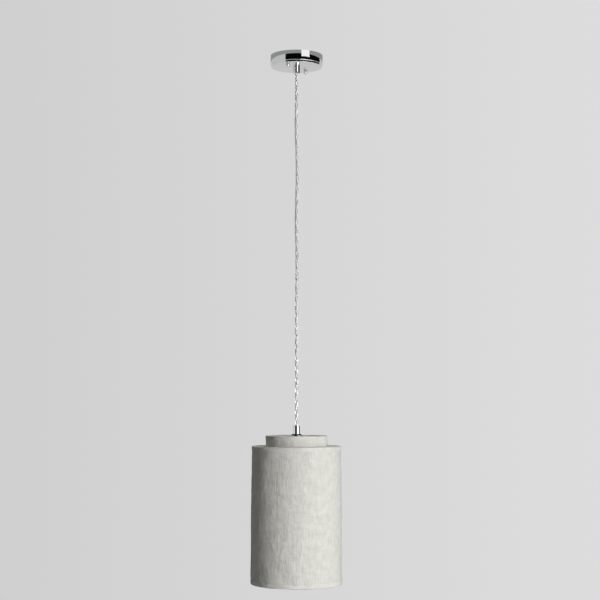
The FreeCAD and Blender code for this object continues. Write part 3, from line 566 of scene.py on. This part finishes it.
# cloth coordinates in metres: round the girth, and a distance for each row
def clothUv(girth, columns, rows):
    u = np.linspace(0, girth, columns + 1) * mm
    return np.stack(np.broadcast_arrays(u[None], rows[:, None] * mm), 2)


# a drum wall: outline up the outside with the cloth's relief, and down a plain inside
def drumCloth(name, low, high, lowRadius, highRadius, seed, shape):
    rows, columns = shape
    girth = 2 * math.pi * (lowRadius + highRadius) / 2
    up, down = np.linspace(0, 1, rows), np.linspace(1, 0, clothLook["insideRows"])
    outer = (lowRadius + (highRadius - lowRadius) * up)[:, None]
    outer = outer + clothRelief(seed, rows, columns, high - low, girth)
    inner = (lowRadius + (highRadius - lowRadius) * down - clothLook["thickness"])[:, None]
    radius = np.vstack([outer, np.repeat(inner, columns, 1)])
    height = low + (high - low) * np.concatenate([up, down])
    return gridPiece(name, turned(radius, height, columns), closeRows=True,
                     uv=clothUv(girth, columns, np.append(height, height[0])), sharp=50)


# a flat cover: rings of points from the hole to the rim, cloth above and plain below
def discCloth(name, top, hole, rim, seed):
    look, (rows, columns) = clothLook, clothLook["disc"]
    r, lower = np.linspace(hole, rim, rows), np.linspace(rim, hole, 4)
    steps = ((rim - hole) / rows, math.pi * (hole + rim) / columns)
    wave = softNoise(seed, (rows, columns), steps, look["discWave"])
    edge = np.clip(np.minimum(r - hole, rim - r) / look["discFade"], 0, 1)[:, None]
    height = np.vstack([top + look["discRelief"] * (wave - 1.2) * edge,
                        np.full((len(lower), columns), top - look["thickness"])])
    grid = turned(np.concatenate([r, lower])[:, None], height, columns)
    uv = np.concatenate([grid, grid[:1]])[:, list(range(columns)) + [0], :2]
    return gridPiece(name, grid, closeRows=True, uv=uv, sharp=50)


# a folded hem: a closed outline turned about Z, its outer face waving a little where the band was
# pulled round by hand
def hemCloth(name, outline, seed, columns=480):
    steps = np.linalg.norm(np.diff(np.vstack([outline, outline[:1]]), axis=0), axis=1)
    reach = outline[:, 0].max()
    girth = 2 * math.pi * reach
    sway = sum(share * softNoise(seed + k, (len(outline), columns), (1.0, girth / columns), widths)
               for k, (*widths, share) in enumerate(clothLook["hemWaves"]))
    grid = turnedOutline(outline, columns)
    grid[:, :, :2] *= (1 + clothLook["hemSway"] * sway / reach)[:, :, None]
    uv = clothUv(girth, columns, np.concatenate([[0], np.cumsum(steps)]))
    return gridPiece(name, grid, closeRows=True, uv=uv, sharp=60)


# mottling of the cloth: lengths round and up in mm, detail, roughness, and its share in the tint
# and in the bump. Real yarn is about 0.5 mm apart; it is drawn at 1.2 mm, the finest that shows.
linenLook = {
    "yarn": 1.2, "weaveTint": 0.12, "weaveBump": 0.25, "cloud": (17.0, 4.0, 0.62, 0.48),
    "streak": (3.0, 34.0, 3.0, 0.6, 0.30, 0.6),
    "level": (40.0, 3.2, 2.0, 0.5, 0.12, 0.0),
    "lump": (6.5, 13.0, 3.0, 0.6, 0.0, 1.2),
    "swell": (24.0, 42.0, 2.0, 0.5, 0.0, 2.0),
    "relief": 1.4,              # mm of bump
}


# linen-look cloth bonded to stiff sheet: pale warm grey, quite matt, mottled where the yarn takes
# the light unevenly, with darker and paler upright streaks
def linenCloth(name, light, middle, dark, turn=0.0):
    material, tree, shader = newFinish(name, Roughness=0.92, Sheen_Weight=0.12, Sheen_Roughness=0.5,
                                       Specular_IOR_Level=0.22)
    look = linenLook
    uv = addNode(tree, "UVMap", uv_map="cloth").outputs[0]
    place = addNode(tree, "Mapping", {
        "Vector": uv, "Rotation": (0.0, 0.0, math.radians(turn))}).outputs[0]
    yarns = [addNode(tree, "TexWave", {"Vector": place, "Scale": 0.5 / (look["yarn"] * mm),
                                       "Distortion": 1.2, "Detail": 2.0, "Detail Scale": 3.0},
                     wave_type="BANDS", bands_direction=way).outputs["Fac"] for way in "XY"]
    weave = addNode(tree, "Math", {0: yarns[0], 1: yarns[1]}, operation="MULTIPLY").outputs[0]
    size, detail, grain, share = look["cloud"]
    cloud = addNode(tree, "TexNoise", {"Vector": place, "Scale": 1 / (size * mm), "Detail": detail,
                                       "Roughness": grain})
    shade = addNode(tree, "Math", {0: cloud.outputs[0], 1: share}, operation="MULTIPLY")
    height = addNode(tree, "Math", {0: weave, 1: look["weaveBump"]}, operation="MULTIPLY")
    for part in ("streak", "level", "lump", "swell"):
        across, up, detail, grain, tinted, raised = look[part]
        stretch = addNode(tree, "Mapping", {"Vector": place,
                                            "Scale": (1 / (across * mm), 1 / (up * mm), 1.0)})
        noise = addNode(tree, "TexNoise", {"Vector": stretch.outputs[0], "Scale": 1.0,
                                           "Detail": detail, "Roughness": grain}).outputs[0]
        if tinted:
            shade = addNode(tree, "Math", {0: noise, 1: tinted, 2: shade.outputs[0]},
                            operation="MULTIPLY_ADD")
        if raised:
            height = addNode(tree, "Math", {0: noise, 1: raised, 2: height.outputs[0]},
                             operation="MULTIPLY_ADD")
    shade = addNode(tree, "Math", {0: weave, 1: look["weaveTint"], 2: shade.outputs[0]},
                    operation="MULTIPLY_ADD")
    tint = addNode(tree, "ValToRGB", {0: shade.outputs[0]},
                   stops=[(0.40, dark), (0.62, light), (0.50, middle)])
    bump = addNode(tree, "Bump", {"Strength": 1.0, "Distance": look["relief"] * mm,
                                  "Height": height.outputs[0]})
    feed(tree, shader, Base_Color=tint, Normal=bump)
    return material


# adds points along the long sides of a closed outline, no more than step apart
def densify(outline, step):
    closed = np.vstack([outline, outline[:1]])
    lengths = np.linalg.norm(np.diff(closed, axis=0), axis=1)
    along = np.concatenate([[0], np.cumsum(lengths)])
    counts = np.maximum(1, np.ceil(lengths / step)).astype(int)
    places = np.concatenate([a + np.arange(n) * l / n for a, n, l in zip(along, counts, lengths)])
    return np.stack([np.interp(places, along, closed[:, k]) for k in (0, 1)], 1)


shadeLook = {                   # mm
    "laminate": 1.2,            # cloth and liner together
    "gap": 0.05,                # between the covers and the walls
    "tuck": 1.9,                # walls stop this far inside the round of a hem
    "hole": 4.05,               # in the top cover, for the stem
    "boardColumns": 160,
    "hemWidth": 9.0, "hemTurn": 7.0, "hemThick": 0.5, "hemStep": 1.2,
    "rollInside": 3.35, "rollGirth": 5.0,       # the bottom hem goes round the lower ring
}


def makeShade():
    cloth = linenCloth("linenCloth", "#E2E1DC", "#DAD9D3", "#D0CFC8")
    # the hems: the same cloth cut across its grain, painted a shade paler than the walls as a painted
    # highlight along the rims
    hem = linenCloth("linenHemPaintedPaler", "#E5E4DF", "#DEDDD8", "#D4D3CD", turn=90.0)
    # white rigid vinyl sheet, smooth with a slight satin, a touch yellowed
    liner = cloudyFinish("whiteVinylLiner", (70, 3.0, 0.5), [(0.35, "#E6E2D8"), (0.7, "#F0EEE8")],
                         grain=(0.9, 0.15, 0.1), Roughness=0.5)
    look, thick, laminate = shadeLook, clothLook["thickness"], shadeLook["laminate"]
    tuck, hole, gap = look["tuck"], look["hole"], look["gap"]
    boxes = [nodeBox(node) for node in ("lower_drum", "upper_drum", "top_cover", "shoulder_cover")]
    wallFoot, drumFoot, lidFoot, stepFoot = [low[2] for low, high in boxes]
    wallHead, drumHead, lidHead, stepHead = [high[2] for low, high in boxes]
    bottomR, drumR, lidR, stepR = [high[0] for low, high in boxes]
    topR, ringR = stepR + gap + laminate, drumR - laminate      # ring: the shoulder cover's hole
    for name, node, shape, seed, lowR, highR, low, high, lift in (
            ("lowerDrumCloth", "lower_drum", "wall", 11, bottomR, topR, wallFoot, wallHead, tuck),
            ("upperDrumCloth", "upper_drum", "band", 31, drumR, drumR, drumFoot, drumHead, 0.0)):
        piece = drumCloth(name, low + lift, high - tuck, lowR, highR, seed, clothLook[shape])
        dress(piece, cloth, "shade", "shade_fabric", node)
    for name, node, seed, inner, slack, outer, top in (
            ("topCloth", "top_cover", 51, hole, 0.0, lidR, lidHead),
            ("shoulderCloth", "shoulder_cover", 61, ringR, gap, stepR, stepHead)):
        piece = discCloth(name, top, inner + slack, outer, seed)
        dress(piece, cloth, "shade", "shade_fabric", node)
    # the stiff liners behind the cloth: inner and outer radius at the foot, then at the head
    for name, foot, head, low, high in (
            ("lowerLiner", (bottomR - laminate, bottomR - thick), (topR - laminate, topR - thick),
             wallFoot, wallHead),
            ("upperLiner", (ringR, drumR - thick), (ringR, drumR - thick), drumFoot, drumHead),
            ("topBoard", (hole, lidR), (hole, lidR), lidFoot, lidHead - thick),
            ("shoulderBoard", (ringR + gap, stepR), (ringR + gap, stepR), stepFoot,
             stepHead - thick)):
        outline = np.array([(foot[0], low), (foot[1], low), (head[1], high), (head[0], high)])
        board = gridPiece(name, turnedOutline(outline, look["boardColumns"]), closeRows=True)
        dress(board, liner, "shade", "shade_fabric")
    # hems: a band glued over each rim and turned down on to the cover, or at the foot up the inside
    w, t, b = look["hemWidth"], look["hemThick"], look["hemTurn"]
    lean = (bottomR - topR) / (wallHead - wallFoot) * w
    for name, node, seed, z, r, out, cut, under in (
            ("topHem", "top_trim", 71, drumHead, drumR, 0.0, w + b, "upperDrumCloth"),
            ("shoulderHem", "shoulder_trim", 81, wallHead, topR, lean, w + b, "lowerDrumCloth"),
            ("bottomHem", "bottom_trim", 91, wallFoot, bottomR, lean, 2 * w + look["rollGirth"],
             "lowerDrumCloth")):
        outline = [(r + 0.12 + out, z - w), (r + t + out, z - w, 0.2), (r + t, z + t, 2.4),
                   (r - b, z + t, 0.2), (r - b, z + 0.05), (r + 0.05, z + 0.05, 1.9)]
        if z == wallFoot:
            inside = r - laminate - look["rollInside"]
            outline = [(r + 0.1 - out, z + w), (r, z - 0.05, 1.7), (inside, z - 0.05, 1.7),
                       (inside, z + w), (inside - t, z + w, 0.2), (inside - t, z - t, 2.2),
                       (r + t, z - t, 2.2), (r + t - out, z + w, 0.2)]
        piece = hemCloth(name, densify(rounded(outline), look["hemStep"]), seed)
        dress(piece, hem, "shade", "shade_fabric", node)


makeShade()
print("shade covered")


def finishNodes(material, *names):
    for name in names:
        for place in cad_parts[name].material_slots:
            place.material = material


# brass or steel plated with bright chrome: a clear mirror, slightly cool, with faint wipe marks
chrome = cloudyFinish("polishedChrome", (30, 5.0, 0.7), None, (0.35, 0.75, 0.03, 0.08),
                      Metallic=1.0, Base_Color=linear("#DCDDDF"))
# pressed steel, zinc plated and passivated: dull grey-blue with cloudy patches
zinc = cloudyFinish("zincPlatedSteel", (8, 5.0, 0.65), [(0.3, "#A4A7A8"), (0.7, "#C9CAC6")],
                    (0.3, 0.7, 0.42, 0.28), Metallic=1.0)
# screw dyed green to mark the earth: thin colour over bright steel, worn on the corners
green = cloudyFinish("greenDyedSteel", (2, 4.0, 0.5), [(0.35, "#2F8A4B"), (0.75, "#57B473")],
                     Metallic=0.85, Roughness=0.38)
# stamped brass, rolled aluminium and solder: bright, with drawn marks and tarnish in patches
brass, aluminium, solder = [
    cloudyFinish(name, (6, 5.0, 0.6), [(0.3, dark), (0.65, light)], (0.3, 0.7, *rough), Metallic=1.0)
    for name, dark, light, *rough in (("stampedBrass", "#B08E48", "#D8B468", 0.42, 0.22),
                                      ("rolledAluminium", "#B9BBBC", "#D6D7D8", 0.4, 0.25),
                                      ("solderDrop", "#94979A", "#B9BBBD", 0.5, 0.3))]
# bulb glass etched on the inside: milky, lets light through with no view of what is behind
frosted = cloudyFinish("frostedGlass", grain=(1.5, 0.1, 0.1), Base_Color=linear("#F4F4F0"),
                       Roughness=0.34, IOR=1.5, Transmission_Weight=0.55, Coat_Weight=0.6,
                       Coat_Roughness=0.05)
finishNodes(chrome, "ball_nut_left", "ball_nut_right", "canopy_grip", "shade_grip")
finishNodes(zinc, "crossbar_fixed", "crossbar_swivel", "crossbar_rivet", "canopy_grip_washer",
            "stem_washer")
finishNodes(brass, "socket_contact", "terminal_screw_line", "terminal_screw_neutral")
for material, node in ((green, "ground_screw"), (pvc, "cord_tail"), (solder, "bulb_tip"),
                       (frosted, "bulb_glass")):
    finishNodes(material, node)
# plastics and enamels, each of two near shades: dark, light, roughness, grain and its depth in mm
plastics = {}
for name, dark, light, rough, size, depth, *nodes in (
        # extruded PVC: an even satin
        ("blackLeadPvc", "#121213", "#1E1E1F", 0.42, 0.5, 0.02, "line_lead", "socket_wire_line"),
        ("whiteLeadPvc", "#DCDAD3", "#E9E8E3", 0.42, 0.5, 0.02, "neutral_lead",
         "socket_wire_neutral"),
        # moulded nylon: a soft sheen over the texture of its mould
        ("orangeNylonShell", "#CF7320", "#E58A2C", 0.45, 0.8, 0.04),
        ("whiteNylon", "#E2E0DA", "#EFEEE9", 0.4, 0.5, 0.02),
        # epoxy powder baked on to wire: a slight orange peel
        ("whiteEpoxyWire", "#DFDDD6", "#ECEBE6", 0.35, 1.2, 0.06, "shade_frame", "lower_ring"),
        # pressed phenolic: nearly black, with a dull gloss
        ("blackPhenolic", "#161515", "#222121", 0.38, 1.4, 0.05, "socket_cap", "socket_body",
         "socket_insulator"),
        # glass fired black: a wet gloss
        ("firedBlackGlass", "#101011", "#1A1A1C", 0.15, 1.0, 0.03, "bulb_insulator")):
    plastics[name] = cloudyFinish(name, (12, 4.0, 0.5), [(0.35, dark), (0.68, light)],
                                  grain=(size, 0.4, depth), Roughness=rough)
    finishNodes(plastics[name], *nodes)
print("finishes given")


spun = {
    "wall": 0.9, "ledge": (1.6, 4.2), "edge": 1.2, "floorEdge": 0.5,    # ledge: depth in, height up
    "canopyHole": 5.3, "canopyColumns": 240,
    "seatRise": 4.6, "seatShoulder": 8.7, "seatHole": 5.1, "seatColumns": 96,
}


# the canopy's outline is its pressed sheet, down the outside and back up the inside; the seat's is
# a quarter of an ellipse from its foot to the grip
def makeSpun():
    low, high = nodeBox("canopy")
    rim, wall, (inset, rise) = high[0], spun["wall"], spun["ledge"]
    ledge, edge, foot = low[2] + rise, spun["edge"], spun["floorEdge"]
    outline = rounded([(rim, high[2]), (rim, ledge, edge), (rim - inset, ledge, 0.3),
                       (rim - inset, low[2], foot), (spun["canopyHole"], low[2]),
                       (spun["canopyHole"], low[2] + wall), (rim - inset - wall, low[2] + wall, 0.3),
                       (rim - inset - wall, ledge + wall, 0.6), (rim - wall, ledge + wall, 0.3),
                       (rim - wall, high[2])])
    pan = gridPiece("canopyPan", turnedOutline(outline, spun["canopyColumns"]), closeRows=True)
    dress(pan, chrome, "canopy", "chrome", "canopy")
    low, high = nodeBox("flange")
    turn = np.linspace(0.06, math.pi / 2, 12)
    shoulder, rise = spun["seatShoulder"], spun["seatRise"]
    dome = np.stack([shoulder + (high[0] - shoulder) * np.cos(turn), low[2] + rise * np.sin(turn)], 1)
    outline = np.vstack([[(high[0], low[2])], dome,
                         [(spun["seatHole"], low[2] + rise), (spun["seatHole"], low[2])]])
    seat = gridPiece("flangeSeat", turnedOutline(outline, spun["seatColumns"]), closeRows=True)
    dress(seat, chrome, "shade", "chrome", "flange")


makeSpun()
print("chrome spun")


hardware = {                    # mm
    # pitch, depth and facets of each cut thread
    "stemThread": (0.94, 0.40, 36), "studThread": (0.794, 0.34, 24), "stemBore": 2.75,
    "nutHoles": {"stud": 2.13, "canopyGrip": 4.8, "stem": 4.05}, "countersink": 0.4,
    # nut: its levels below each face, and the cone that cuts its corners off
    "nutLevels": (0.0, 0.12, 0.26, 0.42, 0.62, 0.9), "nutCone": (1.005, 1.9),
    # set screw: its driver slot, its end's size and length, and facets of the rod and each side
    "slotWidth": 0.7, "slotDepth": 0.9, "slotEnd": (0.93, 0.15), "slotSides": (32, 20),
    "slotOverlap": 0.02,
    # rolled threads of the lamp's base and its shell, their waves in step
    "lampPitch": 3.629, "lampWave": 0.40, "lampWall": 0.35, "lampFade": 2.0,
    "shellRadius": 13.3, "shellRows": 100, "baseRadius": 12.5, "baseRows": 70,
    "baseThread": (1.5, 2.0),   # the base's thread ends this far from its top and foot
    "baseTop": ((11.2, 0.0), (11.9, 0.2), (12.35, 0.7)),            # radius, depth below the top
    "baseFoot": ((12.7, 1.4), (13.1, 0.5), (13.3, 0.0)),            # radius, height over the foot
    # twist-on connector: length, mouth, tip and hole across, ribs and their depth
    "connector": {"length": 24.0, "mouth": 12.0, "tip": 7.0, "hole": 2.3, "ribs": 12, "ribDepth": 0.45,
                  "ribShape": 0.7, "skirt": 5.0, "start": 11.8, "level": -14.5, "columns": 96,
                  # rounded ends: how far in from the end, and how much smaller there
                  "tipRound": ((0.0, 1.0), (0.15, 0.55), (0.5, 0.15)),
                  "mouthRound": ((0.1, 0.12), (0.0, 0.35)),
                  "bore": ((0.0, 1.2), (1.4, 0.3), (2.0, 0.0)),     # depth, and how much wider
                  "azimuths": {"line": 105.0, "neutral": 185.0}},
}


# a right-hand thread: one wave of the radius to each pitch, turned once a pitch, fading to the
# root within a pitch of either end
def threadWave(z, columns, pitch):
    wave = (1 + np.cos(2 * math.pi * z[:, None] / pitch - around(columns)[None])) / 2
    fade = np.clip(np.minimum(z - z.min(), z.max() - z) / pitch, 0, 1)
    return wave * fade[:, None]


# a threaded rod in place of a plain one; with a bore it is a tube
def threadedRod(name, node, thread, bore=0.0):
    pitch, depth, columns = thread
    low, high = nodeBox(node)
    centre, crest = (low + high) / 2, (high[0] - low[0]) / 2
    z = np.linspace(low[2], high[2], int((high[2] - low[2]) / pitch * 6) + 1)
    radius = crest - depth * (1 - threadWave(z, columns, pitch))
    if bore:
        radius = np.vstack([radius, np.full((6, columns), bore)])
        z = np.concatenate([z, np.linspace(high[2], low[2], 6)])
    grid = turned(radius, z, columns, centre)
    if bore:
        return gridPiece(name, grid, closeRows=True, sharp=50)
    ends = [np.array([centre[0], centre[1], h]) * mm for h in (low[2], high[2])]
    return gridPiece(name, grid, poles=ends, sharp=50)


# thin metal with a thread rolled through it, r + share * wave * cos(2 pi z / pitch - a): rows of
# this radius between a top and a foot of (radius, height), followed on the outside and then, one
# wall inside, on the way back. A top is closed.
def rolledThread(name, radius, rows, top=(), foot=(), columns=96):
    pitch, wave, wall = [hardware[key] for key in ("lampPitch", "lampWave", "lampWall")]
    share = np.clip(np.minimum(rows[0] - rows, rows - rows[-1]) / hardware["lampFade"], 0, 1)
    outline = np.array([*[(*point, 0) for point in top], *zip([radius] * len(rows), rows, share),
                        *[(*point, 0) for point in foot]])
    r, z, share = outline[:, 0:1], outline[:, 1:2], outline[:, 2:3]
    outer = r + share * wave * np.cos(2 * math.pi * z / pitch - around(columns))
    height = np.concatenate([z, z[::-1]])
    if top:             # the first row is the flat top's edge, so its inside lies a wall lower
        height[-1] -= wall
    grid = turned(np.vstack([outer, (outer - wall)[::-1]]), height, columns)
    poles = [(0, 0, z[0, 0] * mm), (0, 0, (z[0, 0] - wall) * mm)] if top else ()
    return gridPiece(name, grid, closeRows=not top, poles=poles, sharp=45)


# a hexagon nut: its radius is half the width over cos of the angle from a flat's middle, cut off
# by a cone at both faces; the hole is countersunk
def hexNut(name, node, hole, columns=72):
    low, high = nodeBox(node)
    centre, half, tall = (low + high) / 2, (high[1] - low[1]) / 2, high[2] - low[2]
    hexagon = half / np.cos(around(columns) % (math.pi / 3) - math.pi / 6)
    inset, (start, slope) = np.array(hardware["nutLevels"]), hardware["nutCone"]
    sink = hardware["countersink"]
    z = np.concatenate([inset, tall - inset[::-1]])
    cone = half * start + slope * np.minimum(z, tall - z)
    inner = np.repeat(np.array([[hole + sink], [hole], [hole], [hole + sink]]), columns, 1)
    radius = np.vstack([np.minimum(hexagon[None], cone[:, None]), inner])
    z = low[2] + np.concatenate([z, [tall, tall - sink, sink, 0.0]])
    return gridPiece(name, turned(radius, z, columns, centre), closeRows=True, sharp=30)


# one object from several
def merged(name, pieces):
    joined = bmesh.new()
    for piece in pieces:
        joined.from_mesh(piece.data)
        bpy.data.meshes.remove(piece.data)      # the object goes with it
    mesh = bpy.data.meshes.new(name)
    joined.to_mesh(mesh)
    joined.free()
    return newObject(name, mesh)


# a headless set screw along Y: a plain rod, and beyond it the two sides of its driver slot, each
# the part of the circle past the slot's edge
def slottedRod(name, node):
    low, high = nodeBox(node)
    centre, r = (low + high) / 2, (high[0] - low[0]) / 2
    half, floor = hardware["slotWidth"] / 2, high[1] - hardware["slotDepth"]
    (small, ease), (whole, side) = hardware["slotEnd"], hardware["slotSides"]
    reach = math.acos(half / r)
    sections = [(around(whole), low[1], floor)] + [
        (np.linspace(middle - reach, middle + reach, side), floor - hardware["slotOverlap"], high[1])
        for middle in (0, math.pi)]
    shells = []
    for k, (angle, start, end) in enumerate(sections):
        loops = [(small, start), (1.0, start + ease), (1.0, end - ease), (small, end)]
        grid = np.stack([np.stack([centre[0] + r * size * np.cos(angle), np.full_like(angle, along),
                                   centre[2] + r * size * np.sin(angle)], 1)
                         for size, along in loops]) * mm
        ends = (grid[0].mean(0), grid[-1].mean(0))
        shells.append(gridPiece(f"{name}{k}", grid, poles=ends, sharp=30))
    return merged(name, shells)


# a twist-on connector along a ray of the canopy: a cone with a skirt, hollow to its middle. Its
# ribs stand level with the cone, and between them it sinks by 1 - |sin(ribs a / 2)| ^ ribShape.
def wireConnector(name, azimuth):
    look = hardware["connector"]
    long, mouth, tip, skirt = look["length"], look["mouth"] / 2, look["tip"] / 2, look["skirt"]
    tipRound, mouthRound, bore = [np.array(look[key]) for key in ("tipRound", "mouthRound", "bore")]
    along = np.concatenate([long - tipRound[:, 0], np.linspace(long - 1.0, skirt + 1.2, 30),
                            [skirt + 0.7, skirt, skirt / 2, 0.35], mouthRound[:, 0]])
    taper = np.interp(along, [skirt + 1.0, long - 1.0], [mouth, tip])
    taper[:len(tipRound)] = tip - tipRound[:, 1]
    taper[-len(mouthRound):] = mouth - mouthRound[:, 1]
    angle = around(look["columns"])
    sunk = np.clip((along - skirt - 0.6) / 1.2, 0, 1) * np.clip((long - 0.8 - along) / 2.0, 0, 1)
    rib = np.abs(np.sin(look["ribs"] / 2 * angle)) ** look["ribShape"]
    radius = taper[:, None] - look["ribDepth"] * sunk[:, None] * (1 - rib[None])
    bore = np.vstack([bore, [(long / 2, 0.0)]])
    radius = np.vstack([radius, np.repeat(look["hole"] / 2 + bore[:, 1:], look["columns"], 1)])
    along = np.concatenate([along, bore[:, 0]])
    way = np.array([math.cos(math.radians(azimuth)), math.sin(math.radians(azimuth)), 0.0])
    side, up = np.array([-way[1], way[0], 0.0]), np.array([0, 0, 1.0])
    start = way * look["start"] + up * look["level"]
    grid = (start + way * along[:, None, None] + side * (radius * np.cos(angle))[..., None]
            + up * (radius * np.sin(angle))[..., None]) * mm
    ends = [(start + way * place) * mm for place in (long, long / 2)]
    return gridPiece(name, grid, poles=ends, sharp=40)


def makeHardware():
    holes = hardware["nutHoles"]
    stem = threadedRod("stemThread", "stem", hardware["stemThread"], hardware["stemBore"])
    dress(stem, zinc, "shade", "zinc_steel", "stem")
    for side in ("left", "right"):
        stud = threadedRod(f"studThread.{side}", f"canopy_stud_{side}", hardware["studThread"])
        dress(stud, zinc, "canopy", "zinc_steel", f"canopy_stud_{side}")
        nut = hexNut(f"studLocknut.{side}", f"stud_locknut_{side}", holes["stud"])
        dress(nut, zinc, "canopy", "zinc_steel", f"stud_locknut_{side}")
    for name, node, hole, body in (("canopyGripNut", "canopy_grip_nut", "canopyGrip", "canopy"),
                                   ("stemNut", "stem_nut", "stem", "shade")):
        dress(hexNut(name, node, holes[hole]), zinc, body, "zinc_steel", node)
    for name, node, body in (("canopySetScrew", "canopy_grip_screw", "canopy"),
                             ("shadeSetScrew", "shade_grip_screw", "shade")):
        dress(slottedRod(name, node), plastics["whiteNylon"], body, "nylon", node)
    for name, azimuth in hardware["connector"]["azimuths"].items():
        piece = wireConnector(f"twistConnector.{name}", azimuth)
        dress(piece, plastics["orangeNylonShell"], "canopy", "connector_shell",
              f"wire_connector_{name}")
    low, high = nodeBox("bulb_base")
    top, foot = hardware["baseThread"]
    base = rolledThread("bulbBase", hardware["baseRadius"],
                        np.linspace(high[2] - top, low[2] + foot, hardware["baseRows"]),
                        [(r, high[2] - depth) for r, depth in hardware["baseTop"]],
                        [(r, low[2] + rise) for r, rise in hardware["baseFoot"]])
    dress(base, aluminium, "bulb", "bulb_metal", "bulb_base")
    low, high = nodeBox("socket_shell")
    shell = rolledThread("socketShell", hardware["shellRadius"],
                         np.linspace(high[2], low[2], hardware["shellRows"]))
    dress(shell, brass, "shade", "brass", "socket_shell")


makeHardware()
print("hardware made")
